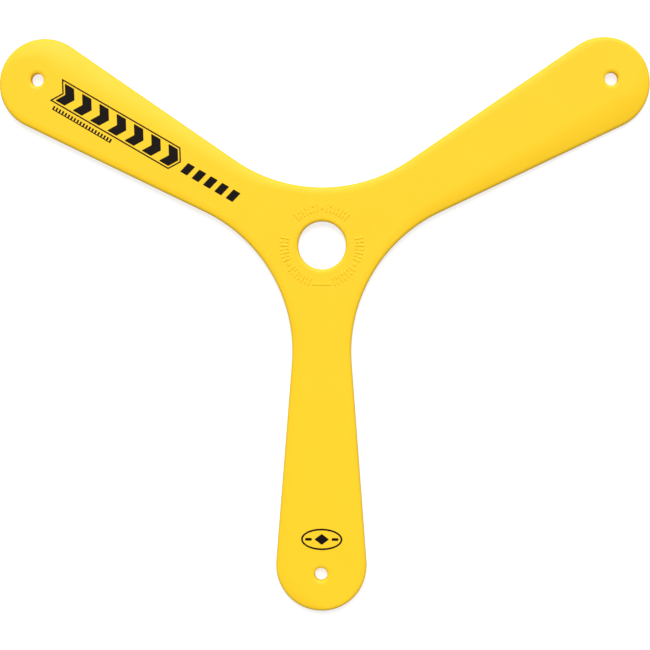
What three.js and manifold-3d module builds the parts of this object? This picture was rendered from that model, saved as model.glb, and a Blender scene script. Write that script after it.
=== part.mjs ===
// A three-bladed sports boomerang, lying flat with its printed side up.
//
// The body is one flexible plastic moulding: three equal blades round a finger hole, with a small
// hole through each tip. The underside is flat. The top is an aerofoil with a rounded rim: each
// blade has a narrow bevel on its leading edge and a wide convex one on its trailing edge, so the
// blades lift when the boomerang spins counter-clockwise as seen from above. A ring of raised marks
// stands round the finger hole. The black prints are thin films of ink on the flat part of the top.
//
// Units are millimetres and +Z is up. The origin is on the spin axis, halfway up the thickness. One
// blade points along -Y and the other two point 30 degrees above +X and above -X.

import * as THREE from 'three';
import { mergeVertices } from 'three/addons/utils/BufferGeometryUtils.js';
import Module from 'manifold-3d';

// Outline of the body.
const TIP_REACH = 139.5; // spin axis to the centre of a blade's round tip
const TIP_RADIUS = 19.8;
const BLADE_TAPER = THREE.MathUtils.degToRad(4.43); // each flank leans out towards the tip
const NOTCH_RADIUS = 67; // the hollow curve that joins two neighbouring blades
const BLADE_ANGLES = [-90, 30, 150].map(THREE.MathUtils.degToRad);

// Section of the body.
const THICKNESS = 4.5;
const UNDERSIDE_Z = -THICKNESS / 2;
const TOP_Z = THICKNESS / 2;
const LOWER_ROUND = 0.6; // radius of the edge round the underside
const RIM_WIDTH = 1.3; // the upper edge is rounded over by this much, all the way round
const RIM_DROP = 1;
const BEVEL_FALL = 0.143; // a bevel's drop at the edge for each millimetre of its width
const LEADING_BEVEL = 3.6; // width of the narrow bevel along the leading edge, with the rim
const TIP_BEVEL = 1.9; // what is left of it at the end of the tip
const TIP_SHARE = 0.8; // share of the tip's radius over which it narrows
const CREST_OFFSET = 6.5; // the trailing bevel starts this far from the blade's centre line
const BEVEL_START = 18; // distance from the spin axis where the trailing bevel begins to widen
const BEVEL_FULL = 45; // distance where it reaches the crest line
const BEVEL_FADE = THREE.MathUtils.degToRad(-86); // round the tip it fades, from this direction
const BEVEL_END = THREE.MathUtils.degToRad(12); // to this one, counted from straight out of the blade

// Holes through the body.
const FINGER_HOLE = { radius: 10.4, width: 1.4, drop: 1.2 }; // its top edge is rounded over
const TIP_HOLE = { radius: 2.8, width: 1.8, drop: 0.8 };
const TIP_HOLE_REACH = 143.2;

// Raised marks round the finger hole.
const RING_RADIUS = 16.4;
const MARK_HEIGHT = 0.25;
const MARK_SINK = 0.5; // how far a mark's solid reaches down into the body
const MARK_WIDTH = 0.8;
const LONG_MARK = 3.8;
const SHORT_MARK = 1.5;
const DOT_LENGTH = 1.7;
const DOT_WIDTH = 1.4;
const MARK_PITCH = THREE.MathUtils.degToRad(5.6);
const DOT_SPACE = THREE.MathUtils.degToRad(2); // extra space on each side of a dot
const MARKS_PER_SIDE = 7; // marks on each side of a dot
const ROOT_BAR_LENGTH = 8;
const ROOT_BAR_RADIUS = 16.8;

// Ink films.
const INK_FILM = 0.1;
const CHEVRON_COUNT = 7;
const CHEVRON_PITCH = 8.7;
const CHEVRON_HEIGHT = 8.4;
const CHEVRON_STROKE = 4.7;
const CHEVRON_POINT = 2.6; // how far a chevron's point runs ahead of its ends
const CHEVRON_ROW_REACH = 102.1; // spin axis to the middle of the row
const CHEVRON_ROW_OFFSET = 0.5; // towards the trailing edge
const CONTOUR_GAP = 0.6;
const CONTOUR_LINE = 0.6;
const BAR_COUNT = 5;
const BAR_PITCH = 5.7;
const BAR_WIDTH = 3.5;
const BAR_HEIGHT = 5;
const BAR_SLANT = 1.2;
const BAR_ROW_REACH = 55.5;
const BAR_ROW_OFFSET = 0.7; // towards the leading edge
const SCALE_REACH = 116.5; // spin axis to the middle of the fine scale
const SCALE_OFFSET = 6.9; // towards the leading edge
const SCALE_TICKS = 20;
const SCALE_PITCH = 1.5;
const TICK_WIDTH = 0.8;
const TICK_HEIGHT = 1.9;
const SCALE_LINE = 0.4;
const EMBLEM_REACH = 127.8;
const EMBLEM_SHIFT = 0.3; // towards the leading edge
const EMBLEM_WIDTH = 18;
const EMBLEM_HEIGHT = 9.4;
const EMBLEM_LINE = 0.8;
const LOZENGE_WIDTH = 6.4;
const LOZENGE_HEIGHT = 4.8;
const STREAK_LENGTH = 3;
const STREAK_WIDTH = 1.2;
const STREAK_OFFSET = 5.8; // from the middle of the emblem to the middle of a streak

// Smoothness of curved surfaces.
const TIP_STEPS = 20;
const FLANK_STEPS = 4;
const NOTCH_STEPS = 7;
const LOWER_ROUND_STEPS = 3;
const RIM_STEPS = 3;
const BEVEL_STEPS = 4;
const HOLE_EDGE_STEPS = 5;

const plastic = new THREE.MeshStandardMaterial({
  name: 'moulded_plastic', color: 0xfed930, roughness: 0.45, metalness: 0,
});
const ink = new THREE.MeshStandardMaterial({
  name: 'black_ink', color: 0x141210, roughness: 0.55, metalness: 0,
});

const wasm = await Module();
wasm.setup();

// ---- Solids ----

function toSolid(geometry) {
  const bare = geometry.clone();
  bare.deleteAttribute('normal');
  bare.deleteAttribute('uv');
  const merged = mergeVertices(bare, 1e-5);
  const index = merged.index.array;
  const triangles = [];
  for (let i = 0; i < index.length; i += 3) {
    const [a, b, c] = [index[i], index[i + 1], index[i + 2]];
    if (a !== b && b !== c && c !== a) triangles.push(a, b, c);
  }
  return new wasm.Manifold(new wasm.Mesh({
    numProp: 3,
    vertProperties: merged.attributes.position.array,
    triVerts: new Uint32Array(triangles),
  }));
}

function toGeometry(solid) {
  const mesh = solid.getMesh();
  const geometry = new THREE.BufferGeometry();
  geometry.setAttribute('position', new THREE.BufferAttribute(mesh.vertProperties, 3));
  geometry.setIndex(new THREE.BufferAttribute(mesh.triVerts, 1));
  geometry.computeVertexNormals();
  return geometry;
}

// Skins a stack of closed rings, each going counter-clockwise, and caps the first and the last.
function loft(rings) {
  const count = rings[0].length;
  const index = [];
  for (let k = 0; k + 1 < rings.length; k++) {
    for (let i = 0; i < count; i++) {
      const a = k * count + i;
      const b = k * count + ((i + 1) % count);
      index.push(a, b, b + count, a, b + count, a + count);
    }
  }
  const top = (rings.length - 1) * count;
  for (const [a, b, c] of THREE.ShapeUtils.triangulateShape(rings[0], [])) index.push(c, b, a);
  for (const [a, b, c] of THREE.ShapeUtils.triangulateShape(rings.at(-1), [])) {
    index.push(top + a, top + b, top + c);
  }
  const geometry = new THREE.BufferGeometry().setFromPoints(rings.flat());
  geometry.setIndex(index);
  return geometry;
}

// ---- Outline of a blade, in its own frame: x runs out along the blade, y to its leading side ----

const flankDistance = TIP_RADIUS - TIP_REACH * Math.sin(BLADE_TAPER); // spin axis to a flank's line
const notchReach = (NOTCH_RADIUS + flankDistance) / Math.sin(Math.PI / 3 - BLADE_TAPER);

// One point of the outline, on an arc, with the outward direction there.
function edgePoint(centre, radius, angle, outward) {
  const across = new THREE.Vector2(Math.cos(angle), Math.sin(angle));
  return {
    place: centre.clone().addScaledVector(across, radius),
    out: across.multiplyScalar(outward),
  };
}

// From the middle of one notch, round the tip, to the middle of the next notch.
function bladeOutline() {
  const notch = new THREE.Vector2(notchReach / 2, -notchReach * Math.sin(Math.PI / 3));
  const tip = new THREE.Vector2(TIP_REACH, 0);
  const flankAngle = Math.PI / 2 + BLADE_TAPER; // direction of a flank's outward side
  const points = [];
  for (let i = 0; i <= NOTCH_STEPS; i++) {
    const angle = THREE.MathUtils.lerp((2 * Math.PI) / 3, Math.PI - flankAngle, i / NOTCH_STEPS);
    points.push(edgePoint(notch, NOTCH_RADIUS, angle, -1));
  }
  const root = points.at(-1);
  const end = edgePoint(tip, TIP_RADIUS, -flankAngle, 1);
  for (let i = 1; i < FLANK_STEPS; i++) {
    points.push({ place: root.place.clone().lerp(end.place, i / FLANK_STEPS), out: root.out.clone() });
  }
  const trailing = [...points];
  for (let i = 0; i <= TIP_STEPS; i++) {
    const angle = THREE.MathUtils.lerp(-flankAngle, flankAngle, i / TIP_STEPS);
    points.push(edgePoint(tip, TIP_RADIUS, angle, 1));
  }
  const leading = trailing.slice(1).reverse().map((point) => ({
    place: new THREE.Vector2(point.place.x, -point.place.y),
    out: new THREE.Vector2(point.out.x, -point.out.y),
  }));
  return [...points, ...leading];
}

// The width of the bevel on the top face's edge. It is narrow on the leading side and wide on the
// trailing side, where it grows out of the notch and fades round the tip.
function bevelWidth({ place, out }) {
  const halfWidth = (flankDistance + Math.min(place.x, TIP_REACH) * Math.sin(BLADE_TAPER))
    / Math.cos(BLADE_TAPER);
  const full = halfWidth - CREST_OFFSET;
  const grown = THREE.MathUtils.smoothstep(place.x, BEVEL_START, BEVEL_FULL);
  const facing = Math.asin(THREE.MathUtils.clamp(out.y, -1, 1)); // -90 degrees is straight backwards
  const fade = THREE.MathUtils.clamp(THREE.MathUtils.inverseLerp(BEVEL_END, BEVEL_FADE, facing), 0, 1);
  const round = THREE.MathUtils.smoothstep(place.x, TIP_REACH, TIP_REACH + TIP_SHARE * TIP_RADIUS);
  const narrow = THREE.MathUtils.lerp(LEADING_BEVEL, TIP_BEVEL, round);
  return THREE.MathUtils.lerp(narrow, full, grown * fade);
}

function bodyOutline() {
  const origin = new THREE.Vector2();
  return BLADE_ANGLES.flatMap((angle) => bladeOutline().map((point) => ({
    bevel: bevelWidth(point),
    place: point.place.clone().rotateAround(origin, angle),
    out: point.out.clone().rotateAround(origin, angle),
  })));
}

// ---- Body ----

function quarterTurn(steps) {
  return Array.from({ length: steps + 1 }, (_, i) => (i / steps) * (Math.PI / 2));
}

function bodyRing(outline, inset, height) {
  return outline.map((point) => {
    const place = point.place.clone().addScaledVector(point.out, -inset(point));
    return new THREE.Vector3(place.x, place.y, height(point));
  });
}

// How far the bevel lies below the flat top, this far in from the edge. It is steepest at the edge.
function bevelDrop({ bevel }, inset) {
  return BEVEL_FALL * bevel * (1 - inset / bevel) ** 2;
}

function bodyBlank() {
  const outline = bodyOutline();
  const rings = [];
  for (const turn of quarterTurn(LOWER_ROUND_STEPS)) {
    const inset = LOWER_ROUND * (1 - Math.sin(turn));
    const z = UNDERSIDE_Z + LOWER_ROUND * (1 - Math.cos(turn));
    rings.push(bodyRing(outline, () => inset, () => z));
  }
  for (const turn of quarterTurn(RIM_STEPS)) {
    const inset = RIM_WIDTH * (1 - Math.cos(turn));
    const rimTop = TOP_Z - RIM_DROP * (1 - Math.sin(turn));
    rings.push(bodyRing(outline, () => inset, (point) => rimTop - bevelDrop(point, inset)));
  }
  for (let i = 1; i <= BEVEL_STEPS; i++) {
    const inset = (point) => THREE.MathUtils.lerp(RIM_WIDTH, point.bevel, i / BEVEL_STEPS);
    rings.push(bodyRing(outline, inset, (point) => TOP_Z - bevelDrop(point, inset(point))));
  }
  return toSolid(loft(rings));
}

// A cutter for a round hole. Its upper edge is a quarter of an ellipse and its lower edge is round.
function holeCutter({ radius, width, drop }, segments) {
  const floor = UNDERSIDE_Z - 1;
  const ceiling = TOP_Z + 1;
  const profile = [[0, floor], [radius + LOWER_ROUND, floor]];
  for (const turn of quarterTurn(LOWER_ROUND_STEPS)) {
    const rise = LOWER_ROUND * (1 - Math.cos(turn));
    profile.push([radius + LOWER_ROUND * (1 - Math.sin(turn)), UNDERSIDE_Z + rise]);
  }
  for (const turn of quarterTurn(HOLE_EDGE_STEPS)) {
    profile.push([radius + width * (1 - Math.cos(turn)), TOP_Z - drop * (1 - Math.sin(turn))]);
  }
  profile.push([radius + width, ceiling], [0, ceiling]);
  const cutter = new THREE.LatheGeometry(profile.map(([x, y]) => new THREE.Vector2(x, y)), segments);
  cutter.rotateX(Math.PI / 2);
  return cutter;
}

function polygon(points) {
  return new THREE.Shape(points.map(([x, y]) => new THREE.Vector2(x, y)));
}

// A bar with round ends, centred on the origin and lying along x.
function roundedBar(length, width) {
  const steps = 5;
  const half = (length - width) / 2;
  const points = [];
  for (const end of [1, -1]) {
    for (let i = 0; i <= steps; i++) {
      const angle = (i / steps - end / 2) * Math.PI;
      points.push([end * half + (width / 2) * Math.cos(angle), (width / 2) * Math.sin(angle)]);
    }
  }
  return polygon(points);
}

function raisedMark(length, width, radius, angle, turn) {
  const mark = new THREE.ExtrudeGeometry(roundedBar(length, width), {
    depth: MARK_SINK + MARK_HEIGHT, bevelEnabled: false,
  });
  mark.rotateZ(turn);
  mark.translate(radius, 0, TOP_Z - MARK_SINK);
  mark.rotateZ(angle);
  return toSolid(mark);
}

// Between each two blades: a dot with seven marks on either side, long ones and split ones in turn.
// A straight bar lies across the root of the printed blade that points along -Y.
function raisedMarks() {
  const marks = [raisedMark(ROOT_BAR_LENGTH, MARK_WIDTH, ROOT_BAR_RADIUS, BLADE_ANGLES[0], Math.PI / 2)];
  for (const blade of BLADE_ANGLES) {
    const middle = blade + Math.PI / 3;
    marks.push(raisedMark(DOT_LENGTH, DOT_WIDTH, RING_RADIUS, middle, 0));
    for (let i = 1; i <= MARKS_PER_SIDE; i++) {
      for (const side of [-1, 1]) {
        const angle = middle + side * (i * MARK_PITCH + DOT_SPACE);
        if (i % 2) {
          marks.push(raisedMark(LONG_MARK, MARK_WIDTH, RING_RADIUS, angle, 0));
        } else {
          const shift = (LONG_MARK - SHORT_MARK) / 2;
          marks.push(raisedMark(SHORT_MARK, MARK_WIDTH, RING_RADIUS - shift, angle, 0));
          marks.push(raisedMark(SHORT_MARK, MARK_WIDTH, RING_RADIUS + shift, angle, 0));
        }
      }
    }
  }
  return marks;
}

function body() {
  let solid = bodyBlank().subtract(toSolid(holeCutter(FINGER_HOLE, 48)));
  for (const angle of BLADE_ANGLES) {
    const cutter = holeCutter(TIP_HOLE, 24);
    cutter.translate(TIP_HOLE_REACH, 0, 0);
    cutter.rotateZ(angle);
    solid = solid.subtract(toSolid(cutter));
  }
  for (const mark of raisedMarks()) solid = solid.add(mark);
  const mesh = new THREE.Mesh(toGeometry(solid), plastic);
  mesh.name = 'body';
  return mesh;
}

// ---- Ink ----

function inkFilm(name, shape, x, y) {
  const film = new THREE.Mesh(new THREE.ExtrudeGeometry(shape, {
    depth: INK_FILM, bevelEnabled: false, curveSegments: 12,
  }), ink);
  film.name = name;
  film.position.set(x, y, 0);
  return film;
}

// The long print reads from the tip to the hub: in its group, +x runs towards the hub and +y to the
// trailing edge, with the spin axis at the group's origin.
function bladePrint() {
  const print = new THREE.Group();
  const [h, s, p] = [CHEVRON_HEIGHT / 2, CHEVRON_STROKE / 2, CHEVRON_POINT / 2];
  const chevron = polygon([[-s - p, -h], [s - p, -h], [s + p, 0], [s - p, h], [-s - p, h], [-s + p, 0]]);
  for (let i = 0; i < CHEVRON_COUNT; i++) {
    const x = -CHEVRON_ROW_REACH + (i - (CHEVRON_COUNT - 1) / 2) * CHEVRON_PITCH;
    print.add(inkFilm(`print_chevron_${i + 1}`, chevron, x, CHEVRON_ROW_OFFSET));
  }
  print.add(inkFilm('print_contour', contour(), -CHEVRON_ROW_REACH, CHEVRON_ROW_OFFSET));
  const [bh, bw, lean] = [BAR_HEIGHT / 2, BAR_WIDTH / 2, BAR_SLANT / 2];
  const bar = polygon([[-bw - lean, -bh], [bw - lean, -bh], [bw + lean, bh], [-bw + lean, bh]]);
  for (let i = 0; i < BAR_COUNT; i++) {
    const x = -BAR_ROW_REACH + (i - (BAR_COUNT - 1) / 2) * BAR_PITCH;
    print.add(inkFilm(`print_bar_${i + 1}`, bar, x, -BAR_ROW_OFFSET));
  }
  print.add(inkFilm('print_scale', fineScale(), -SCALE_REACH, -SCALE_OFFSET));
  return print;
}

// A thin line round the whole row of chevrons, following its notched and pointed ends.
function contour() {
  const loop = (grow) => {
    const end = ((CHEVRON_COUNT - 1) * CHEVRON_PITCH + CHEVRON_STROKE) / 2;
    const h = CHEVRON_HEIGHT / 2 + grow;
    const slope = CHEVRON_POINT / (CHEVRON_HEIGHT / 2);
    const reach = grow * Math.hypot(1, slope);
    const nose = end + CHEVRON_POINT / 2 + reach;
    const notch = -end + CHEVRON_POINT / 2 - reach;
    return [
      [notch - slope * h, -h], [nose - slope * h, -h], [nose, 0],
      [nose - slope * h, h], [notch - slope * h, h], [notch, 0],
    ];
  };
  const shape = polygon(loop(CONTOUR_GAP + CONTOUR_LINE));
  shape.holes.push(polygon(loop(CONTOUR_GAP)));
  return shape;
}

// A fine line with ticks standing on it.
function fineScale() {
  const half = ((SCALE_TICKS - 1) * SCALE_PITCH + TICK_WIDTH) / 2;
  const points = [[-half, -TICK_HEIGHT / 2], [half, -TICK_HEIGHT / 2]];
  const line = -TICK_HEIGHT / 2 + SCALE_LINE;
  for (let i = SCALE_TICKS - 1; i >= 0; i--) {
    const x = -half + i * SCALE_PITCH;
    points.push([x + TICK_WIDTH, TICK_HEIGHT / 2], [x, TICK_HEIGHT / 2]);
    if (i > 0) points.push([x, line], [x - SCALE_PITCH + TICK_WIDTH, line]);
  }
  return polygon(points);
}

// An oval ring with a lozenge in its middle and a streak on each side, printed across the blade near
// its tip.
function emblem() {
  const print = new THREE.Group();
  const oval = new THREE.Shape();
  oval.absellipse(0, 0, EMBLEM_WIDTH / 2, EMBLEM_HEIGHT / 2, 0, Math.PI * 2);
  const inside = new THREE.Path();
  inside.absellipse(0, 0, EMBLEM_WIDTH / 2 - EMBLEM_LINE, EMBLEM_HEIGHT / 2 - EMBLEM_LINE, 0, Math.PI * 2);
  oval.holes.push(inside);
  print.add(inkFilm('emblem_oval', oval, 0, 0));
  const [w, h] = [LOZENGE_WIDTH / 2, LOZENGE_HEIGHT / 2];
  print.add(inkFilm('emblem_lozenge', polygon([[w, 0], [0, h], [-w, 0], [0, -h]]), 0, 0));
  const streak = roundedBar(STREAK_LENGTH, STREAK_WIDTH);
  print.add(inkFilm('emblem_streak_left', streak, -STREAK_OFFSET, 0));
  print.add(inkFilm('emblem_streak_right', streak, STREAK_OFFSET, 0));
  return print;
}

// ---- The boomerang ----

const boomerang = new THREE.Group();
boomerang.add(body());

const printed = bladePrint();
printed.rotation.z = BLADE_ANGLES[2] + Math.PI;
printed.position.z = TOP_Z;
boomerang.add(printed);

const badge = emblem();
badge.position.set(EMBLEM_SHIFT, -EMBLEM_REACH, TOP_Z);
boomerang.add(badge);

export default boomerang;
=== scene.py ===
"""A yellow three-blade sports boomerang, lying printed side up.

It is one flexible plastic moulding with black prints on its flat top. Everything is in metres in the
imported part's own frame: +Z is up out of the printed face, the origin is on the spin axis halfway up
the thickness, and one blade points along -Y.
"""

import math

import bpy
from mathutils import Euler, Matrix, Vector


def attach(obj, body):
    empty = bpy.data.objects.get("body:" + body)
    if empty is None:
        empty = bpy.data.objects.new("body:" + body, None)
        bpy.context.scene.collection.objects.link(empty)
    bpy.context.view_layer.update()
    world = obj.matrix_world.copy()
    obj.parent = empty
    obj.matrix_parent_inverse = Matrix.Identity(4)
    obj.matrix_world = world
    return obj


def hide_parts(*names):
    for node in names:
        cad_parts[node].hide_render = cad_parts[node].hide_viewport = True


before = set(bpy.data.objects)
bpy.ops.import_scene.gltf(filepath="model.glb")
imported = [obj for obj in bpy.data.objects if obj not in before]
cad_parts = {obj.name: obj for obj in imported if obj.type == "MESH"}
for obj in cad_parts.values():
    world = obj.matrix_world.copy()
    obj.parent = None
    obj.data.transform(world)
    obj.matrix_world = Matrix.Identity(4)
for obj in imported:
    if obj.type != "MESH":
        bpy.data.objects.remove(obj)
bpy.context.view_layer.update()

# ---------------------------------------------------------------------------------------------
# Body. One shot of flexible polypropylene in a two-part mould: three equal blades round a finger
# hole, a small soft-edged hole in each tip, a flat underside and an aerofoil top. The mould also
# gives it the ring of raised marks round the finger hole and faint ejector marks underneath.

MM = 0.001

TIP_REACH = 139.5 * MM  # spin axis to the centre of a blade's round tip
TIP_RADIUS = 19.76 * MM
BLADE_TAPER = math.radians(4.43)  # each flank leans out towards the tip
NOTCH_RADIUS = 67 * MM  # hollow curve between two blades
THICKNESS = 4.5 * MM
LOWER_ROUND = 0.6 * MM
RIM_WIDTH = 1.3 * MM  # the upper edge is rounded over by this much, all the way round
RIM_DROP = 1.0 * MM
BEVEL_FALL = 0.143  # a bevel's drop at the edge, over its width
LEADING_BEVEL = 3.6 * MM  # width of the narrow bevel along the leading edge, with the rim
TIP_BEVEL = 1.9 * MM  # what is left of it at the end of the tip
TIP_SHARE = 0.8  # share of the tip's radius over which it narrows
CREST_OFFSET = 6.5 * MM  # the trailing bevel starts this far from the blade's centre line
BEVEL_START = 18 * MM  # distance from the spin axis where the trailing bevel starts to grow
BEVEL_FULL = 45 * MM
BEVEL_FADE = math.radians(-86)  # round the tip the bevel fades between these two directions
BEVEL_END = math.radians(12)
# A hole's upper edge is rounded over by a width and a drop.
FINGER_HOLE = {"Radius": 10.4 * MM, "Width": 1.4 * MM, "Drop": 1.2 * MM, "Points": 128}
TIP_HOLE = {"Radius": 2.8 * MM, "Width": 1.8 * MM, "Drop": 0.8 * MM, "Points": 64}
TIP_HOLE_REACH = 143.2 * MM
OUTLINE_POINTS = 960
ARC_POINTS = 64  # on each rounded corner, before the outline is divided evenly
BEVEL_STEPS = 14
RING_RADIUS = 16.4 * MM  # ring of raised marks
MARK_HEIGHT = 0.25 * MM
MARK_ROUND = 0.2 * MM  # its upper edge
MARK_CORNER = 0.375  # corner radius of a mark seen from above, as a share of its width
MARK_WIDTH = 0.8 * MM
LONG_MARK = 3.8 * MM
SHORT_MARK = 1.5 * MM
DOT_LENGTH = 1.7 * MM
DOT_WIDTH = 1.4 * MM
MARK_PITCH = math.radians(5.6)  # turn from one mark to the next
DOT_SPACE = math.radians(2)  # extra space beside a dot
MARKS_PER_SIDE = 7  # on each side of a dot
ROOT_BAR_LENGTH = 8 * MM
ROOT_BAR_RADIUS = 16.8 * MM
EJECTOR_RADIUS = 3 * MM  # witness marks of the mould's ejector pins
EJECTOR_DEPTH = 0.08 * MM
EJECTOR_ROUND = 0.03 * MM
EJECTOR_POINTS = 48
EJECTOR_REACHES = (40 * MM, 90 * MM, 125 * MM)
CREASE = math.radians(35)  # edges sharper than this stay sharp
SAME_PLACE = 0.001 * MM  # points closer than this are one point
FILL_SCALE = 1000  # a flat face is filled this much larger, as the fill drops points that lie close

TURN = 2 * math.pi
UNDERSIDE = -THICKNESS / 2
TOP = THICKNESS / 2


def add(tree, kind, feeds=(), **settings):
    """Adds a node with its settings. An input is fed by its name or its number, from a node's first
    output, from a socket, or with a plain value. A joining input is fed a list and takes its last
    source first."""
    node = tree.nodes.new(kind)
    for name, value in settings.items():
        setattr(node, name, value)
    for key, value in dict(feeds).items():
        socket = node.inputs[key] if isinstance(key, int) else next(
            s for s in node.inputs if s.name == key and s.enabled)
        sources = value if isinstance(value, list) else [value]
        for source in sources:
            if isinstance(source, bpy.types.Node):
                source = next(s for s in source.outputs if s.enabled)
            if isinstance(source, bpy.types.NodeSocket):
                tree.links.new(source, socket)
            else:
                socket.default_value = source
    return node


SOCKET_KINDS = {float: "NodeSocketFloat", int: "NodeSocketInt", tuple: "NodeSocketVector",
                bpy.types.Mesh: "NodeSocketGeometry", bpy.types.Material: "NodeSocketMaterial",
                bpy.types.Object: "NodeSocketObject"}


def new_tree(name, inputs):
    """An empty geometry tree with named inputs, each given as a kind or as its usual value."""
    tree = bpy.data.node_groups.new(name, "GeometryNodeTree")
    for label, value in inputs.items():
        kind = value if isinstance(value, type) else type(value)
        socket = tree.interface.new_socket(label, in_out="INPUT", socket_type=SOCKET_KINDS[kind])
        if kind in (float, int, tuple) and value is not kind:
            socket.default_value = value
    tree.interface.new_socket("Geometry", in_out="OUTPUT", socket_type="NodeSocketGeometry")
    return tree, tree.nodes.new("NodeGroupInput").outputs


def moulded_edge_tree():
    """Skins the edge of a moulding along flat loops: a small round below, a straight land, a rim that
    is a quarter of an ellipse, and a bevel that flattens out inwards. The sizes may change along the
    loop. A loop runs with the plastic on its left."""
    tree, given = new_tree("Moulded Edge", {
        "Loops": bpy.types.Mesh, "Rim Width": float, "Rim Drop": float, "Bevel Width": float,
        "Bevel Fall": 0.0, "Bottom": float, "Top": float, "Lower Round": float, "Lower Steps": 6,
        "Rim Steps": 10, "Bevel Steps": 0})
    out = add(tree, "ShaderNodeVectorMath", {0: add(tree, "GeometryNodeInputTangent"), 1: (0, 0, 1)},
              operation="CROSS_PRODUCT")
    loops = given["Loops"]
    out = add(tree, "ShaderNodeVectorMath", {0: out}, operation="NORMALIZE")
    kept = {"edge_place": ("FLOAT_VECTOR", add(tree, "GeometryNodeInputPosition")),
            "edge_out": ("FLOAT_VECTOR", out), "edge_bevel": ("FLOAT", given["Bevel Width"])}
    for name, (kind, value) in kept.items():
        loops = add(tree, "GeometryNodeStoreNamedAttribute",
                    {"Geometry": loops, "Name": name, "Value": value}, data_type=kind)
    rim_end = add(tree, "ShaderNodeMath", {0: given["Lower Steps"], 1: given["Rim Steps"]},
                  operation="ADD")
    rim_end = add(tree, "ShaderNodeMath", {0: rim_end, 1: 1.0}, operation="ADD")
    bevel_end = add(tree, "ShaderNodeMath", {0: rim_end, 1: given["Bevel Steps"]}, operation="ADD")
    count = add(tree, "ShaderNodeMath", {0: bevel_end, 1: 1.0}, operation="ADD")
    line = add(tree, "GeometryNodeCurvePrimitiveLine", {"End": (0, 0, MM)})
    line = add(tree, "GeometryNodeResampleCurve", {"Curve": line, "Count": count}, mode="COUNT")
    step = add(tree, "GeometryNodeSplineParameter").outputs["Index"]
    line = add(tree, "GeometryNodeStoreNamedAttribute",
               {"Geometry": line, "Name": "edge_step", "Value": step}, data_type="FLOAT")
    skin = add(tree, "GeometryNodeCurveToMesh", {"Curve": loops, "Profile Curve": line})
    place, out, bevel, step = (
        add(tree, "GeometryNodeInputNamedAttribute", {"Name": name}, data_type=kind)
        for name, kind in (("edge_place", "FLOAT_VECTOR"), ("edge_out", "FLOAT_VECTOR"),
                           ("edge_bevel", "FLOAT"), ("edge_step", "FLOAT")))
    lower_turn = add(tree, "ShaderNodeMapRange", {
        "Value": step, "From Max": given["Lower Steps"], "To Max": math.pi / 2})
    rim_start = add(tree, "ShaderNodeMath", {0: given["Lower Steps"], 1: 1.0}, operation="ADD")
    rim_turn = add(tree, "ShaderNodeMapRange", {
        "Value": step, "From Min": rim_start, "From Max": rim_end, "To Max": math.pi / 2})
    inward = add(tree, "ShaderNodeMapRange", {
        "Value": step, "From Min": rim_end, "From Max": bevel_end})
    shares = []
    for turn, wave in ((lower_turn, "SINE"), (lower_turn, "COSINE"),
                       (rim_turn, "COSINE"), (rim_turn, "SINE")):
        value = add(tree, "ShaderNodeMath", {0: turn}, operation=wave)
        shares.append(add(tree, "ShaderNodeMath", {0: 1.0, 1: value}, operation="SUBTRACT"))
    lower_in = add(tree, "ShaderNodeMath", {0: shares[0], 1: given["Lower Round"]},
                   operation="MULTIPLY")
    rim_in = add(tree, "ShaderNodeMath", {0: shares[2], 1: given["Rim Width"]}, operation="MULTIPLY")
    beyond = add(tree, "ShaderNodeMath", {0: bevel, 1: given["Rim Width"]}, operation="SUBTRACT")
    upper_in = add(tree, "ShaderNodeMath", {0: inward, 1: beyond, 2: rim_in},
                   operation="MULTIPLY_ADD")
    low = add(tree, "ShaderNodeMath", {0: shares[1], 1: given["Lower Round"], 2: given["Bottom"]},
              operation="MULTIPLY_ADD")
    rim_drop = add(tree, "ShaderNodeMath", {0: shares[3], 1: given["Rim Drop"]}, operation="MULTIPLY")
    share = add(tree, "ShaderNodeMath", {0: upper_in, 1: bevel}, operation="DIVIDE")
    share = add(tree, "ShaderNodeMath", {0: 1.0, 1: share}, operation="SUBTRACT")
    share = add(tree, "ShaderNodeMath", {0: share, 1: share}, operation="MULTIPLY")
    fall = add(tree, "ShaderNodeMath", {0: bevel, 1: given["Bevel Fall"]}, operation="MULTIPLY")
    drop = add(tree, "ShaderNodeMath", {0: share, 1: fall, 2: rim_drop}, operation="MULTIPLY_ADD")
    high = add(tree, "ShaderNodeMath", {0: given["Top"], 1: drop}, operation="SUBTRACT")
    above = add(tree, "ShaderNodeMath", {0: step, 1: given["Lower Steps"]}, operation="GREATER_THAN")
    height = add(tree, "ShaderNodeMix", {"Factor": above, "A": low, "B": high})
    inset = add(tree, "ShaderNodeMix", {"Factor": above, "A": lower_in, "B": upper_in})
    back = add(tree, "ShaderNodeMath", {0: inset, 1: -1.0}, operation="MULTIPLY")
    across = add(tree, "ShaderNodeVectorMath", {0: out, "Scale": back}, operation="SCALE")
    flat = add(tree, "ShaderNodeVectorMath", {0: place, 1: across}, operation="ADD")
    upward = add(tree, "ShaderNodeCombineXYZ", {"Z": height})
    place = add(tree, "ShaderNodeVectorMath", {0: flat, 1: upward}, operation="ADD")
    skin = add(tree, "GeometryNodeSetPosition", {"Geometry": skin, "Position": place})
    skin = add(tree, "GeometryNodeRemoveAttribute", {"Geometry": skin, "Name": "edge_*"},
               pattern_mode="WILDCARD")
    skin = add(tree, "GeometryNodeFlipFaces", {"Mesh": skin})
    add(tree, "NodeGroupOutput", {"Geometry": skin})
    return tree


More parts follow.
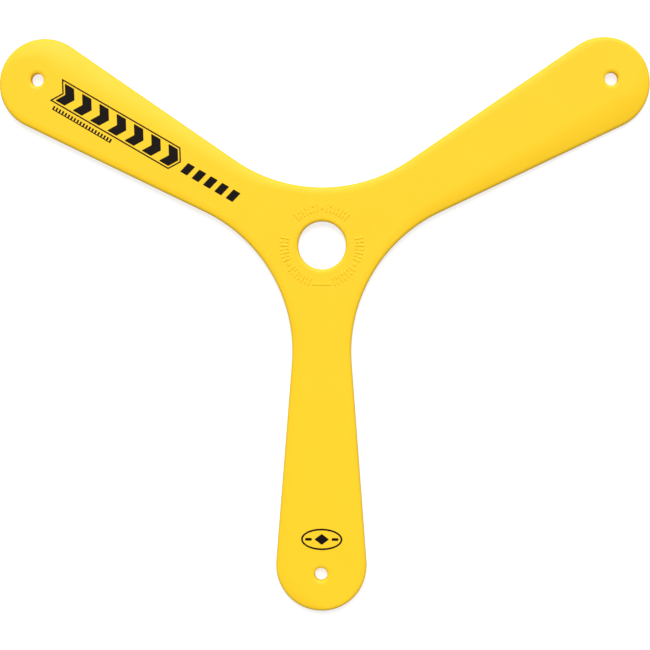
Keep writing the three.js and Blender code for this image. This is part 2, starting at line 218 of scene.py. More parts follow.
def flat_face_tree():
    """Fills the flat face at one height, between all the open edges of the skins at that height."""
    tree, given = new_tree("Flat Face", {"Skins": bpy.types.Mesh, "Height": float})
    place = add(tree, "ShaderNodeSeparateXYZ", {0: add(tree, "GeometryNodeInputPosition")})
    level = add(tree, "FunctionNodeCompare", {
        "A": place.outputs["Z"], "B": given["Height"], "Epsilon": SAME_PLACE},
        data_type="FLOAT", operation="EQUAL")
    faces_beside = add(tree, "GeometryNodeInputMeshEdgeNeighbors")
    open_edge = add(tree, "FunctionNodeCompare", {"A": faces_beside, "B": 1},
                    data_type="INT", operation="EQUAL")
    rim = add(tree, "FunctionNodeBooleanMath", {0: level, 1: open_edge}, operation="AND")
    rim = add(tree, "GeometryNodeMeshToCurve", {"Mesh": given["Skins"], "Selection": rim})
    large = add(tree, "GeometryNodeTransform", {"Geometry": rim, "Scale": (FILL_SCALE,) * 3})
    face = add(tree, "GeometryNodeFillCurve", {"Curve": large}, mode="TRIANGLES")
    lift = add(tree, "ShaderNodeCombineXYZ", {"Z": given["Height"]})
    face = add(tree, "GeometryNodeTransform", {
        "Geometry": face, "Translation": lift, "Scale": (1 / FILL_SCALE,) * 3})
    face = add(tree, "GeometryNodeSetShadeSmooth", {"Geometry": face, "Shade Smooth": False})
    add(tree, "NodeGroupOutput", {"Geometry": face})
    return tree


def blade_outline(tree, given):
    """The whole outline as one loop: a nine-cornered star whose corners are rounded by arcs. Each
    blade has a notch corner and two tip corners."""
    index = add(tree, "GeometryNodeInputIndex")
    corner = add(tree, "FunctionNodeIntegerMath", {0: index, 1: 3}, operation="MODULO")
    blade = add(tree, "FunctionNodeIntegerMath", {0: index, 1: 3}, operation="DIVIDE_FLOOR")
    corners = add(tree, "FunctionNodeIntegerMath", {0: given["Blades"], 1: 3}, operation="MULTIPLY")
    place = add(tree, "GeometryNodeIndexSwitch", data_type="VECTOR")
    radius = add(tree, "GeometryNodeIndexSwitch", data_type="FLOAT")
    flipped = add(tree, "ShaderNodeVectorMath", {0: given["Tip Corner"], 1: (1, -1, 1)},
                  operation="MULTIPLY")
    for switch, values in (
            (place, (given["Notch Corner"], flipped, given["Tip Corner"])),
            (radius, (given["Notch Radius"], given["Tip Radius"], given["Tip Radius"]))):
        switch.index_switch_items.new()
        tree.links.new(corner.outputs[0], switch.inputs["Index"])
        for number, value in enumerate(values):
            value = value.outputs[0] if isinstance(value, bpy.types.Node) else value
            tree.links.new(value, switch.inputs[number + 1])
    share = add(tree, "ShaderNodeMath", {0: blade, 1: given["Blades"]}, operation="DIVIDE")
    angle = add(tree, "ShaderNodeMath", {0: share, 1: TURN, 2: -TURN / 4}, operation="MULTIPLY_ADD")
    star = add(tree, "GeometryNodeCurvePrimitiveCircle", {"Resolution": corners}, mode="RADIUS")
    star = add(tree, "GeometryNodeSetPosition", {"Geometry": star.outputs["Curve"], "Position": add(
        tree, "ShaderNodeVectorRotate", {"Vector": place, "Angle": angle}, rotation_type="Z_AXIS")})
    loop = add(tree, "GeometryNodeFilletCurve", {
        "Curve": star, "Radius": radius, "Count": ARC_POINTS, "Limit Radius": False}, mode="POLY")
    return add(tree, "GeometryNodeResampleCurve", {"Curve": loop, "Count": given["Outline Points"]},
               mode="COUNT")


def bevel_width(tree, given):
    """The width of the bevel at a point of the outline. It is narrow on the leading side and wide on
    the trailing side, where it grows out of the notch and fades round the tip."""
    position = add(tree, "GeometryNodeInputPosition")
    parts = add(tree, "ShaderNodeSeparateXYZ", {0: position}).outputs
    azimuth = add(tree, "ShaderNodeMath", {0: parts["Y"], 1: parts["X"]}, operation="ARCTAN2")
    spacing = add(tree, "ShaderNodeMath", {0: TURN, 1: given["Blades"]}, operation="DIVIDE")
    turned = add(tree, "ShaderNodeMath", {0: azimuth, 1: TURN / 4}, operation="ADD")
    blade = add(tree, "ShaderNodeMath", {0: turned, 1: spacing}, operation="DIVIDE")
    blade = add(tree, "ShaderNodeMath", {0: blade}, operation="ROUND")
    back = add(tree, "ShaderNodeMath", {0: blade, 1: spacing}, operation="MULTIPLY")
    back = add(tree, "ShaderNodeMath", {0: TURN / 4, 1: back}, operation="SUBTRACT")
    out = add(tree, "ShaderNodeVectorMath", {0: add(tree, "GeometryNodeInputTangent"), 1: (0, 0, 1)},
              operation="CROSS_PRODUCT")
    along, facing = (
        add(tree, "ShaderNodeVectorRotate", {"Vector": vector, "Angle": back}, rotation_type="Z_AXIS")
        for vector in (position, out))
    along = add(tree, "ShaderNodeSeparateXYZ", {0: along}).outputs["X"]
    facing = add(tree, "ShaderNodeSeparateXYZ", {0: facing}).outputs["Y"]
    grown = add(tree, "ShaderNodeMapRange", {
        "Value": along, "From Min": given["Bevel Start"], "From Max": given["Bevel Full"]},
        interpolation_type="SMOOTHSTEP")
    fade = add(tree, "ShaderNodeMapRange", {
        "Value": add(tree, "ShaderNodeMath", {0: facing}, operation="ARCSINE"),
        "From Min": given["Bevel End"], "From Max": given["Bevel Fade"]})
    grown = add(tree, "ShaderNodeMath", {0: grown, 1: fade}, operation="MULTIPLY")
    reach = add(tree, "ShaderNodeMath", {0: along, 1: given["Tip Reach"]}, operation="MINIMUM")
    lean = add(tree, "ShaderNodeMath", {0: given["Blade Taper"]}, operation="SINE")
    half = add(tree, "ShaderNodeMath", {0: reach, 1: lean, 2: given["Flank Distance"]},
               operation="MULTIPLY_ADD")
    upright = add(tree, "ShaderNodeMath", {0: given["Blade Taper"]}, operation="COSINE")
    half = add(tree, "ShaderNodeMath", {0: half, 1: upright}, operation="DIVIDE")
    full = add(tree, "ShaderNodeMath", {0: half, 1: given["Crest Offset"]}, operation="SUBTRACT")
    narrow = add(tree, "ShaderNodeMapRange", {
        "Value": along, "From Min": given["Tip Reach"], "From Max": given["Tip Bevel Reach"],
        "To Min": given["Leading Bevel"], "To Max": given["Tip Bevel"]}, interpolation_type="SMOOTHSTEP")
    return add(tree, "ShaderNodeMix", {"Factor": grown, "A": narrow, "B": full})


def round_copies(tree, geometry, count):
    """Copies of a geometry, turned evenly round the spin axis. The first is where it was made."""
    points = add(tree, "GeometryNodePoints", {"Count": count})
    number = add(tree, "GeometryNodeInputIndex")
    share = add(tree, "ShaderNodeMath", {0: number, 1: count}, operation="DIVIDE")
    angle = add(tree, "ShaderNodeMath", {0: share, 1: TURN}, operation="MULTIPLY")
    turn = add(tree, "ShaderNodeCombineXYZ", {"Z": angle})
    copies = add(tree, "GeometryNodeInstanceOnPoints", {
        "Points": points, "Instance": geometry, "Rotation": turn})
    return add(tree, "GeometryNodeRealizeInstances", {"Geometry": copies})


def mark_loops(tree, given):
    """Loops of the raised marks. Between two blades stands a dot with marks on both sides of it, long
    ones and split ones in turn. A straight bar lies across the root of the lower blade."""
    def bar(length, width):
        shape = add(tree, "GeometryNodeCurvePrimitiveQuadrilateral", {
            "Width": length, "Height": width})
        return add(tree, "GeometryNodeFilletCurve", {
            "Curve": shape, "Radius": width * MARK_CORNER, "Count": 5, "Limit Radius": True},
            mode="POLY")

    gap = (LONG_MARK - SHORT_MARK) / 2
    short = bar(SHORT_MARK, MARK_WIDTH)
    pair = [add(tree, "GeometryNodeTransform", {"Geometry": short, "Translation": (side * gap, 0, 0)})
            for side in (-1, 1)]
    kinds = [bar(DOT_LENGTH, DOT_WIDTH), bar(LONG_MARK, MARK_WIDTH),
             add(tree, "GeometryNodeJoinGeometry", {"Geometry": pair})]
    choice = add(tree, "GeometryNodeGeometryToInstance", {"Geometry": kinds[::-1]})
    count = 2 * MARKS_PER_SIDE + 1
    index = add(tree, "GeometryNodeInputIndex")
    number = add(tree, "ShaderNodeMath", {0: index, 1: float(MARKS_PER_SIDE)},
                 operation="SUBTRACT")
    distance = add(tree, "ShaderNodeMath", {0: number}, operation="ABSOLUTE")
    side = add(tree, "ShaderNodeMath", {0: number}, operation="SIGN")
    odd = add(tree, "ShaderNodeMath", {0: distance, 1: 2.0}, operation="MODULO")
    beside = add(tree, "ShaderNodeMath", {0: distance, 1: 0.5}, operation="GREATER_THAN")
    even = add(tree, "ShaderNodeMath", {0: beside, 1: odd}, operation="SUBTRACT")
    kind = add(tree, "ShaderNodeMath", {0: even, 1: 2.0, 2: odd}, operation="MULTIPLY_ADD")
    angle = add(tree, "ShaderNodeMath", {0: number, 1: given["Mark Pitch"], 2: -TURN / 12},
                operation="MULTIPLY_ADD")
    angle = add(tree, "ShaderNodeMath", {0: side, 1: given["Dot Space"], 2: angle},
                operation="MULTIPLY_ADD")
    turn = add(tree, "ShaderNodeCombineXYZ", {"Z": angle})
    place = add(tree, "ShaderNodeCombineXYZ", {"X": given["Ring Radius"]})
    place = add(tree, "ShaderNodeVectorRotate", {"Vector": place, "Angle": angle},
                rotation_type="Z_AXIS")
    points = add(tree, "GeometryNodePoints", {"Count": count, "Position": place})
    marks = add(tree, "GeometryNodeInstanceOnPoints", {
        "Points": points, "Instance": choice, "Pick Instance": True, "Instance Index": kind,
        "Rotation": turn})
    marks = round_copies(tree, marks, given["Blades"])
    root_bar = add(tree, "GeometryNodeTransform", {
        "Geometry": bar(ROOT_BAR_LENGTH, MARK_WIDTH), "Translation": (0, -ROOT_BAR_RADIUS, 0)})
    return add(tree, "GeometryNodeJoinGeometry", {"Geometry": [marks, root_bar]})


def hole_loop(tree, radius, points, reach=0.0):
    """A loop for a round hole. It runs clockwise, so that the plastic round the hole is on its left."""
    circle = add(tree, "GeometryNodeCurvePrimitiveCircle", {"Resolution": points, "Radius": radius},
                 mode="RADIUS")
    circle = add(tree, "GeometryNodeReverseCurve", {"Curve": circle.outputs["Curve"]})
    return add(tree, "GeometryNodeTransform", {"Geometry": circle, "Translation": (0, -reach, 0)})


def body_tree(edge, face):
    """The whole moulding: the skins along all its edges, the flat faces between them, and the smooth
    shading that stops at its sharp edges."""
    tree, given = new_tree("Boomerang Body", {
        "Blades": 3, "Notch Corner": (0, 0, 0), "Tip Corner": (0, 0, 0), "Notch Radius": NOTCH_RADIUS,
        "Tip Radius": TIP_RADIUS, "Tip Reach": TIP_REACH, "Blade Taper": BLADE_TAPER,
        "Flank Distance": 0.0, "Rim Width": RIM_WIDTH, "Rim Drop": RIM_DROP,
        "Bevel Fall": BEVEL_FALL,
        "Leading Bevel": LEADING_BEVEL, "Tip Bevel": TIP_BEVEL,
        "Tip Bevel Reach": TIP_REACH + TIP_SHARE * TIP_RADIUS, "Crest Offset": CREST_OFFSET,
        "Bevel Start": BEVEL_START, "Bevel Full": BEVEL_FULL, "Bevel Fade": BEVEL_FADE,
        "Bevel End": BEVEL_END,
        "Ring Radius": RING_RADIUS, "Mark Pitch": MARK_PITCH, "Dot Space": DOT_SPACE,
        "Outline Points": OUTLINE_POINTS, "Plastic": bpy.types.Material})
    shell = {"Bottom": UNDERSIDE, "Top": TOP, "Lower Round": LOWER_ROUND}
    outline = blade_outline(tree, given)
    skins = [add(tree, "GeometryNodeGroup", {
        "Loops": outline, "Rim Width": given["Rim Width"], "Rim Drop": given["Rim Drop"],
        "Bevel Width": bevel_width(tree, given), "Bevel Fall": given["Bevel Fall"],
        "Bevel Steps": BEVEL_STEPS, **shell}, node_tree=edge)]
    finger_hole = hole_loop(tree, FINGER_HOLE["Radius"], FINGER_HOLE["Points"])
    tip_hole = hole_loop(tree, TIP_HOLE["Radius"], TIP_HOLE["Points"], TIP_HOLE_REACH)
    tip_holes = round_copies(tree, tip_hole, given["Blades"])
    for hole, loops in ((FINGER_HOLE, finger_hole), (TIP_HOLE, tip_holes)):
        skins.append(add(tree, "GeometryNodeGroup", {
            "Loops": loops, "Rim Width": hole["Width"], "Rim Drop": hole["Drop"],
            "Bevel Width": hole["Width"], **shell}, node_tree=edge))
    skins.append(add(tree, "GeometryNodeGroup", {
        "Loops": mark_loops(tree, given), "Rim Width": MARK_ROUND, "Rim Drop": MARK_ROUND,
        "Bevel Width": MARK_ROUND, "Bottom": TOP, "Top": TOP + MARK_HEIGHT, "Lower Round": 0.0,
        "Lower Steps": 1, "Rim Steps": 4}, node_tree=edge))
    for reach in EJECTOR_REACHES:
        mark = hole_loop(tree, EJECTOR_RADIUS, EJECTOR_POINTS, reach)
        loops = round_copies(tree, mark, given["Blades"])
        skins.append(add(tree, "GeometryNodeGroup", {
            "Loops": loops, "Rim Width": 0.0, "Rim Drop": 0.0, "Bevel Width": 0.0, "Bottom": UNDERSIDE,
            "Top": UNDERSIDE + EJECTOR_DEPTH, "Lower Round": EJECTOR_ROUND,
            "Lower Steps": 2, "Rim Steps": 1}, node_tree=edge))
    skins = add(tree, "GeometryNodeJoinGeometry", {"Geometry": skins[::-1]})
    faces = [skins]
    for height, upward in ((UNDERSIDE, False), (UNDERSIDE + EJECTOR_DEPTH, False),
                           (TOP, True), (TOP + MARK_HEIGHT, True)):
        flat = add(tree, "GeometryNodeGroup", {"Skins": skins, "Height": height}, node_tree=face)
        faces.append(flat if upward else add(tree, "GeometryNodeFlipFaces", {"Mesh": flat}))
    whole = add(tree, "GeometryNodeJoinGeometry", {"Geometry": faces})
    whole = add(tree, "GeometryNodeMergeByDistance", {"Geometry": whole, "Distance": SAME_PLACE})
    crease = add(tree, "ShaderNodeMath", {
        0: add(tree, "GeometryNodeInputMeshEdgeAngle"), 1: CREASE}, operation="GREATER_THAN")
    whole = add(tree, "GeometryNodeSetShadeSmooth", {
        "Geometry": whole, "Selection": crease, "Shade Smooth": False}, domain="EDGE")
    whole = add(tree, "GeometryNodeRealizeInstances", {"Geometry": whole})
    whole = add(tree, "GeometryNodeSetMaterial", {"Geometry": whole, "Material": given["Plastic"]})
    add(tree, "NodeGroupOutput", {"Geometry": whole})
    return tree


def grow(name, start, tree, sizes):
    """Runs a geometry tree on a starting mesh and keeps the result as a plain mesh object."""
    seed = bpy.data.objects.new(name + "_start", start)
    bpy.context.scene.collection.objects.link(seed)
    modifier = seed.modifiers.new(tree.name, "NODES")
    modifier.node_group = tree
    for item in tree.interface.items_tree:
        if item.in_out == "INPUT" and item.name in sizes:
            modifier[item.identifier] = sizes[item.name]
    depsgraph = bpy.context.evaluated_depsgraph_get()
    mesh = bpy.data.meshes.new_from_object(seed.evaluated_get(depsgraph), depsgraph=depsgraph)
    bpy.data.objects.remove(seed)
    mesh.name = name
    piece = bpy.data.objects.new(name, mesh)
    bpy.context.scene.collection.objects.link(piece)
    return piece


def linear(code):
    """An sRGB hex colour as linear red, green, blue and alpha."""
    values = [int(code[i:i + 2], 16) / 255 for i in (1, 3, 5)]
    return (*(v / 12.92 if v <= 0.04045 else ((v + 0.055) / 1.055) ** 2.4 for v in values), 1.0)


# Yellow polypropylene, coloured all through and straight from a lightly spark-eroded mould. The
# colour is even, the gloss is satin, and the light sinks in a little. What the eye gets besides is
# the grain of the mould, slow waves where the thick parts shrank, and gloss that varies with the
# flow. The real grain is finer, and is drawn at 0.45 mm so that it shows.
plastic = bpy.data.materials.new("moulded_polypropylene")
plastic.use_nodes = True
tree = plastic.node_tree
tree.nodes.clear()
place = add(tree, "ShaderNodeTexCoord").outputs["Object"]
flow = add(tree, "ShaderNodeTexNoise", {"Vector": place, "Scale": 1 / (28 * MM), "Detail": 3.0})
tint = add(tree, "ShaderNodeMix", {
    "Factor": flow, "A": linear("#f8c915"), "B": linear("#fbcd19")}, data_type="RGBA")
satin = add(tree, "ShaderNodeTexNoise", {"Vector": place, "Scale": 1 / (9 * MM), "Detail": 4.0})
satin = add(tree, "ShaderNodeMapRange", {
    "Value": satin, "From Min": 0.3, "From Max": 0.7, "To Min": 0.5, "To Max": 0.58})
sink = add(tree, "ShaderNodeTexNoise", {"Vector": place, "Scale": 1 / (22 * MM), "Detail": 1.0})
sink = add(tree, "ShaderNodeBump", {"Height": sink, "Distance": 0.15 * MM, "Strength": 1.0})
grain = add(tree, "ShaderNodeTexNoise", {"Vector": place, "Scale": 1 / (0.45 * MM), "Detail": 2.0})
grain = add(tree, "ShaderNodeBump", {
    "Height": grain, "Distance": 0.012 * MM, "Strength": 1.0, "Normal": sink})
shader = add(tree, "ShaderNodeBsdfPrincipled", {
    "Base Color": tint, "Roughness": satin, "IOR": 1.49, "Specular IOR Level": 0.4,
    "Normal": grain, "Subsurface Weight": 0.05, "Subsurface Radius": (1.0, 0.5, 0.1),
    "Subsurface Scale": 1.5 * MM})
add(tree, "ShaderNodeOutputMaterial", {"Surface": shader})

flank_distance = TIP_RADIUS - TIP_REACH * math.sin(BLADE_TAPER)  # spin axis to a flank's line
tip_end = TIP_REACH + TIP_RADIUS
tip_corner = (
    tip_end, (flank_distance + tip_end * math.sin(BLADE_TAPER)) / math.cos(BLADE_TAPER), 0)
notch_reach = flank_distance / math.sin(math.radians(60) - BLADE_TAPER)
notch_corner = (notch_reach / 2, -notch_reach * math.sin(math.radians(60)), 0)
whole_body = body_tree(moulded_edge_tree(), flat_face_tree())
body = grow("boomerang_body", bpy.data.meshes.new("start"), whole_body, {
    "Notch Corner": notch_corner, "Tip Corner": tip_corner, "Flank Distance": flank_distance,
    "Plastic": plastic})
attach(body, "root")
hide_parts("body")

# ---------------------------------------------------------------------------------------------
# Ink on the long printed blade. Black pad-printing ink, laid on the moulding as a film of a few
# hundredths of a millimetre: seven chevrons in a thin outline, five slanted bars and a fine scale.

INK_ABOVE = 0.03 * MM  # how far the film stands off the plastic, and how far it is keyed into it
INK_BELOW = 0.01 * MM
PRINT_TURN = math.radians(-30)  # the print reads from the tip to the hub of the blade at 150 degrees
CHEVRON_COUNT = 7
CHEVRON_PITCH = 8.7 * MM
CHEVRON_HEIGHT = 8.4 * MM
CHEVRON_STROKE = 4.7 * MM
CHEVRON_POINT = 2.6 * MM  # how far its point runs ahead of its ends
CHEVRON_CORNER = 0.25 * MM
CHEVRON_PLACE = (-102.1 * MM, 0.5 * MM)
CONTOUR_GAP = 0.6 * MM
CONTOUR_LINE = 0.6 * MM
CONTOUR_CORNER = 0.15 * MM
BAR_COUNT = 5
BAR_PITCH = 5.7 * MM
BAR_WIDTH = 3.5 * MM
BAR_HEIGHT = 5 * MM
BAR_SLANT = 1.2 * MM
BAR_CORNER = 0.2 * MM
BAR_PLACE = (-55.5 * MM, -0.7 * MM)
SCALE_TICKS = 20
SCALE_PITCH = 1.5 * MM
TICK_WIDTH = 0.8 * MM
TICK_HEIGHT = 1.9 * MM
SCALE_LINE = 0.4 * MM
SCALE_CORNER = 0.08 * MM
SCALE_PLACE = (-116.5 * MM, -6.9 * MM)


def ink_film_tree():
    """Fills flat loops, repeats them in a row, and lays them on the plastic as a closed film."""
    tree, given = new_tree("Ink Film", {
        "Loops": bpy.types.Mesh, "Count": 1, "Pitch": 0.0, "Corner Radius": 0.0, "Place": (0, 0, 0),
        "Turn": 0.0, "Above": INK_ABOVE, "Below": INK_BELOW, "Plastic": bpy.types.Object,
        "Ink": bpy.types.Material})
    loops = add(tree, "GeometryNodeMeshToCurve", {"Mesh": given["Loops"]})
    loops = add(tree, "GeometryNodeFilletCurve", {
        "Curve": loops, "Radius": given["Corner Radius"], "Count": 4, "Limit Radius": True}, mode="POLY")
    large = add(tree, "GeometryNodeTransform", {"Geometry": loops, "Scale": (FILL_SCALE,) * 3})
    shape = add(tree, "GeometryNodeFillCurve", {"Curve": large}, mode="TRIANGLES")
    shape = add(tree, "GeometryNodeTransform", {
        "Geometry": shape, "Scale": (1 / FILL_SCALE,) * 3})
    last = add(tree, "ShaderNodeMath", {0: given["Count"], 1: 1.0}, operation="SUBTRACT")
    middle = add(tree, "ShaderNodeMath", {0: last, 1: 0.5}, operation="MULTIPLY")
    number = add(tree, "ShaderNodeMath", {0: add(tree, "GeometryNodeInputIndex"), 1: middle},
                 operation="SUBTRACT")
    along = add(tree, "ShaderNodeMath", {0: number, 1: given["Pitch"]}, operation="MULTIPLY")
    points = add(tree, "GeometryNodePoints", {
        "Count": given["Count"], "Position": add(tree, "ShaderNodeCombineXYZ", {"X": along})})
    row = add(tree, "GeometryNodeInstanceOnPoints", {"Points": points, "Instance": shape})
    row = add(tree, "GeometryNodeRealizeInstances", {"Geometry": row})
    row = add(tree, "GeometryNodeTransform", {"Geometry": row, "Translation": given["Place"]})
    turn = add(tree, "ShaderNodeCombineXYZ", {"Z": given["Turn"]})
    row = add(tree, "GeometryNodeTransform", {"Geometry": row, "Rotation": turn})
    sunk = add(tree, "ShaderNodeMath", {0: given["Below"], 1: -1.0}, operation="MULTIPLY")
    row = add(tree, "GeometryNodeSetPosition", {
        "Geometry": row, "Offset": add(tree, "ShaderNodeCombineXYZ", {"Z": sunk})})
    film = add(tree, "ShaderNodeMath", {0: given["Above"], 1: given["Below"]}, operation="ADD")
    top = add(tree, "GeometryNodeExtrudeMesh", {
        "Mesh": row, "Offset": (0, 0, 1), "Offset Scale": film, "Individual": False}, mode="FACES")
    closed = add(tree, "GeometryNodeJoinGeometry", {"Geometry": [
        top.outputs["Mesh"], add(tree, "GeometryNodeFlipFaces", {"Mesh": row})]})
    closed = add(tree, "GeometryNodeMergeByDistance", {"Geometry": closed, "Distance": SAME_PLACE})
    moulding = add(tree, "GeometryNodeObjectInfo", {"Object": given["Plastic"]},
                   transform_space="RELATIVE")
    above = add(tree, "ShaderNodeVectorMath", {
        0: add(tree, "GeometryNodeInputPosition"), 1: (0, 0, 1)}, operation="ADD")
    hit = add(tree, "GeometryNodeRaycast", {
        "Target Geometry": moulding.outputs["Geometry"], "Source Position": above,
        "Ray Direction": (0, 0, -1), "Ray Length": 2.0}, data_type="FLOAT")
    surface = add(tree, "ShaderNodeSeparateXYZ", {0: hit.outputs["Hit Position"]}).outputs["Z"]
    laid = add(tree, "GeometryNodeSetPosition", {
        "Geometry": closed, "Offset": add(tree, "ShaderNodeCombineXYZ", {"Z": surface})})
    laid = add(tree, "GeometryNodeSetShadeSmooth", {"Geometry": laid, "Shade Smooth": False})
    laid = add(tree, "GeometryNodeRealizeInstances", {"Geometry": laid})
    laid = add(tree, "GeometryNodeSetMaterial", {"Geometry": laid, "Material": given["Ink"]})
    add(tree, "NodeGroupOutput", {"Geometry": laid})
    return tree


def loop_mesh(*loops):
    """Closed flat loops as a mesh that has only edges."""
    points = [(x, y, 0) for loop in loops for x, y in loop]
    edges = []
    start = 0
    for loop in loops:
        edges += [(start + i, start + (i + 1) % len(loop)) for i in range(len(loop))]
        start += len(loop)
    mesh = bpy.data.meshes.new("loops")
    mesh.from_pydata(points, edges, [])
    return mesh


def chevron():
    h, s, p = CHEVRON_HEIGHT / 2, CHEVRON_STROKE / 2, CHEVRON_POINT / 2
    return [(-s - p, -h), (s - p, -h), (s + p, 0), (s - p, h), (-s - p, h), (-s + p, 0)]


def contour(gap):
    """A loop round the whole row of chevrons, this far from them all the way."""
    end = ((CHEVRON_COUNT - 1) * CHEVRON_PITCH + CHEVRON_STROKE) / 2
    h = CHEVRON_HEIGHT / 2 + gap
    slope = CHEVRON_POINT / (CHEVRON_HEIGHT / 2)
    reach = gap * math.hypot(1, slope)
    nose = end + CHEVRON_POINT / 2 + reach
    notch = -end + CHEVRON_POINT / 2 - reach
    return [(notch - slope * h, -h), (nose - slope * h, -h), (nose, 0),
            (nose - slope * h, h), (notch - slope * h, h), (notch, 0)]


def slanted_bar():
    h, w, lean = BAR_HEIGHT / 2, BAR_WIDTH / 2, BAR_SLANT / 2
    return [(-w - lean, -h), (w - lean, -h), (w + lean, h), (-w + lean, h)]


def fine_scale():
    """A fine line with ticks standing on it."""
    half = ((SCALE_TICKS - 1) * SCALE_PITCH + TICK_WIDTH) / 2
    foot = -TICK_HEIGHT / 2
    points = [(-half, foot), (half, foot)]
    for i in reversed(range(SCALE_TICKS)):
        x = -half + i * SCALE_PITCH
        points += [(x + TICK_WIDTH, TICK_HEIGHT / 2), (x, TICK_HEIGHT / 2)]
        if i > 0:
            points += [(x, foot + SCALE_LINE), (x - SCALE_PITCH + TICK_WIDTH, foot + SCALE_LINE)]
    return points


# Solvent ink: warm black, a little glossier than the plastic, with a slightly uneven laydown that
# lets the light catch fine specks. The real ones are finer, and are drawn at 0.6 mm so that they show.
ink = bpy.data.materials.new("black_pad_printing_ink")
ink.use_nodes = True
tree = ink.node_tree
tree.nodes.clear()
place = add(tree, "ShaderNodeTexCoord").outputs["Object"]
laydown = add(tree, "ShaderNodeTexNoise", {"Vector": place, "Scale": 1 / (0.6 * MM), "Detail": 3.0})
tint = add(tree, "ShaderNodeMix", {
    "Factor": laydown, "A": linear("#090402"), "B": linear("#140b06")}, data_type="RGBA")
relief = add(tree, "ShaderNodeBump", {"Height": laydown, "Distance": 0.01 * MM, "Strength": 0.5})
shader = add(tree, "ShaderNodeBsdfPrincipled", {
    "Base Color": tint, "Roughness": 0.38, "IOR": 1.45, "Specular IOR Level": 0.2, "Normal": relief})
add(tree, "ShaderNodeOutputMaterial", {"Surface": shader})

ink_film = ink_film_tree()
for name, loops, place, count, pitch, corner, nodes in (
        ("chevron_ink", [chevron()], CHEVRON_PLACE, CHEVRON_COUNT, CHEVRON_PITCH, CHEVRON_CORNER,
         ["print_chevron_%d" % (i + 1) for i in range(CHEVRON_COUNT)]),
        ("contour_ink", [contour(CONTOUR_GAP), contour(CONTOUR_GAP + CONTOUR_LINE)], CHEVRON_PLACE,
         1, 0.0, CONTOUR_CORNER, ["print_contour"]),
        ("bar_ink", [slanted_bar()], BAR_PLACE, BAR_COUNT, BAR_PITCH, BAR_CORNER,
         ["print_bar_%d" % (i + 1) for i in range(BAR_COUNT)]),
        ("scale_ink", [fine_scale()], SCALE_PLACE, 1, 0.0, SCALE_CORNER, ["print_scale"])):
    piece = grow(name, loop_mesh(*loops), ink_film, {
        "Count": count, "Pitch": pitch, "Corner Radius": corner, "Place": (*place, 0.0),
        "Turn": PRINT_TURN, "Plastic": body, "Ink": ink})
    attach(piece, "root")
    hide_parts(*nodes)

# ---------------------------------------------------------------------------------------------
# Emblem on the lower blade. The same ink, printed across the blade near its tip: an oval ring with
# a lozenge in its middle and a short streak on each side.

EMBLEM_PLACE = (0.3 * MM, -127.8 * MM)
EMBLEM_WIDTH = 18 * MM
EMBLEM_HEIGHT = 9.4 * MM
EMBLEM_LINE = 0.8 * MM
OVAL_POINTS = 96
LOZENGE_WIDTH = 6.4 * MM
LOZENGE_HEIGHT = 4.8 * MM
LOZENGE_CORNER = 0.2 * MM
STREAK_LENGTH = 3 * MM
STREAK_WIDTH = 1.2 * MM
STREAK_CORNER = STREAK_WIDTH * 0.45
STREAK_OFFSET = 5.8 * MM  # from the middle of the emblem to the middle of a streak


def oval(inset):
    across, up = EMBLEM_WIDTH / 2 - inset, EMBLEM_HEIGHT / 2 - inset
    turns = [TURN * i / OVAL_POINTS for i in range(OVAL_POINTS)]
    return [(across * math.cos(turn), up * math.sin(turn)) for turn in turns]


def lozenge():
    x, y = LOZENGE_WIDTH / 2, LOZENGE_HEIGHT / 2
    return [(x, 0), (0, y), (-x, 0), (0, -y)]


def streak():
    x, y = STREAK_LENGTH / 2, STREAK_WIDTH / 2
    return [(-x, -y), (x, -y), (x, y), (-x, y)]


for name, loops, count, pitch, corner, nodes in (
        ("emblem_oval_ink", [oval(0.0), oval(EMBLEM_LINE)], 1, 0.0, 0.0, ["emblem_oval"]),
        ("emblem_lozenge_ink", [lozenge()], 1, 0.0, LOZENGE_CORNER, ["emblem_lozenge"]),
        ("emblem_streak_ink", [streak()], 2, 2 * STREAK_OFFSET, STREAK_CORNER,
         ["emblem_streak_left", "emblem_streak_right"])):
    piece = grow(name, loop_mesh(*loops), ink_film, {
        "Count": count, "Pitch": pitch, "Corner Radius": corner, "Place": (*EMBLEM_PLACE, 0.0),
        "Plastic": body, "Ink": ink})
    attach(piece, "root")
    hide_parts(*nodes)

# ---------------------------------------------------------------------------------------------
# Studio. A backlit table of white acrylic in a light tent that is dimmer overhead, with one large
# soft key light from beyond the far side (+Y), and a camera almost straight above.

TENT_SIDE = 0.6  # brightness of the tent's walls, its top, and what lies below the table
TENT_TOP = 0.3
TENT_BELOW = 0.3
KEY_STRENGTH = 3.0
KEY_HEIGHT = math.radians(50)  # above the horizon
KEY_SPREAD = math.radians(40)
TABLE_GLOW = 0.72
TABLE_REACH = 6.0
TABLE_GAP = 0.05 * MM
CAMERA_HEIGHT = 800 * MM
CAMERA_SHIFT = (1.3 * MM, -34.5 * MM)
CAMERA_TILT = (-2.09, 2.66, 0.24)  # in degrees
CAMERA_LENS = 102.13

scene = bpy.context.scene
scene.view_settings.view_transform = "Standard"
scene.view_settings.look = "None"

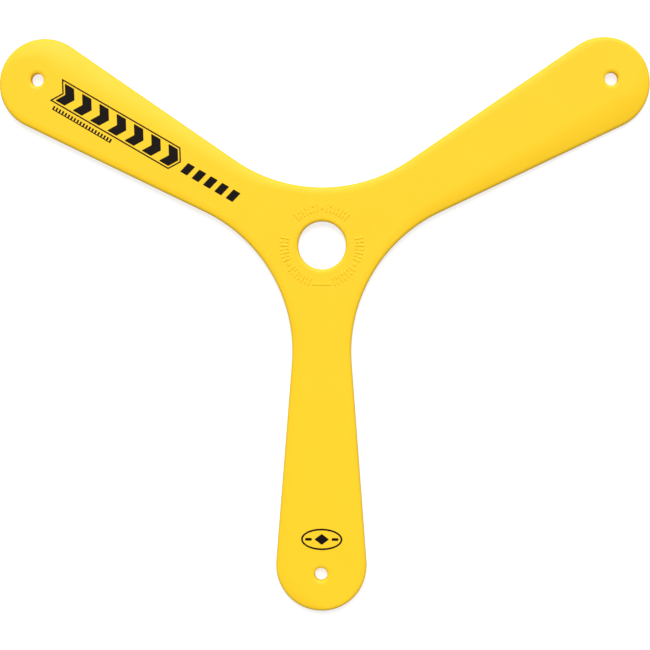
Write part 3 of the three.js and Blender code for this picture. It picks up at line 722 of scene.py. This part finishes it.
world = bpy.data.worlds.new("light_tent")
world.use_nodes = True
scene.world = world
tree = world.node_tree
tree.nodes.clear()
height = add(tree, "ShaderNodeSeparateXYZ", {0: add(tree, "ShaderNodeTexCoord").outputs["Generated"]})
upper = add(tree, "ShaderNodeMapRange", {
    "Value": height.outputs["Z"], "From Min": 0.3, "From Max": 0.9, "To Min": TENT_SIDE,
    "To Max": TENT_TOP}, interpolation_type="SMOOTHSTEP")
lower = add(tree, "ShaderNodeMapRange", {
    "Value": height.outputs["Z"], "From Min": -0.25, "From Max": 0.0, "To Min": TENT_BELOW,
    "To Max": TENT_SIDE}, interpolation_type="SMOOTHSTEP")
level = add(tree, "ShaderNodeMath", {0: upper, 1: lower}, operation="MINIMUM")
tent = add(tree, "ShaderNodeBackground", {"Color": (1, 1, 1, 1), "Strength": level})
add(tree, "ShaderNodeOutputWorld", {"Surface": tent})

table = bpy.data.materials.new("backlit_white_acrylic")
table.use_nodes = True
tree = table.node_tree
tree.nodes.clear()
shader = add(tree, "ShaderNodeBsdfPrincipled", {
    "Base Color": linear("#a8a8a8"), "Roughness": 0.9, "Specular IOR Level": 0.0,
    "Emission Color": (1, 1, 1, 1), "Emission Strength": TABLE_GLOW})
add(tree, "ShaderNodeOutputMaterial", {"Surface": shader})

floor_mesh = bpy.data.meshes.new("floor")
corners = [(x * TABLE_REACH, y * TABLE_REACH, UNDERSIDE - TABLE_GAP)
           for x, y in ((-1, -1), (1, -1), (1, 1), (-1, 1))]
floor_mesh.from_pydata(corners, [], [(0, 1, 2, 3)])
floor_mesh.materials.append(table)
floor = bpy.data.objects.new("floor", floor_mesh)
scene.collection.objects.link(floor)
floor.visible_diffuse = False  # the table's glow doesn't light the boomerang's edge
floor.visible_glossy = False

key = bpy.data.lights.new("key", "SUN")
key.energy = KEY_STRENGTH
key.angle = KEY_SPREAD
key_object = bpy.data.objects.new("key", key)
key_object.rotation_euler = (KEY_HEIGHT - math.pi / 2, 0, 0)
scene.collection.objects.link(key_object)

lens = bpy.data.cameras.new("camera")
lens.lens = CAMERA_LENS
lens.clip_start = 0.05
lens.clip_end = 20.0
camera = bpy.data.objects.new("camera", lens)
scene.collection.objects.link(camera)
lean = Euler([math.radians(a) for a in CAMERA_TILT], "YXZ").to_matrix()
camera.matrix_world = Matrix.Translation(lean @ Vector((*CAMERA_SHIFT, CAMERA_HEIGHT))) @ lean.to_4x4()
scene.camera = camera
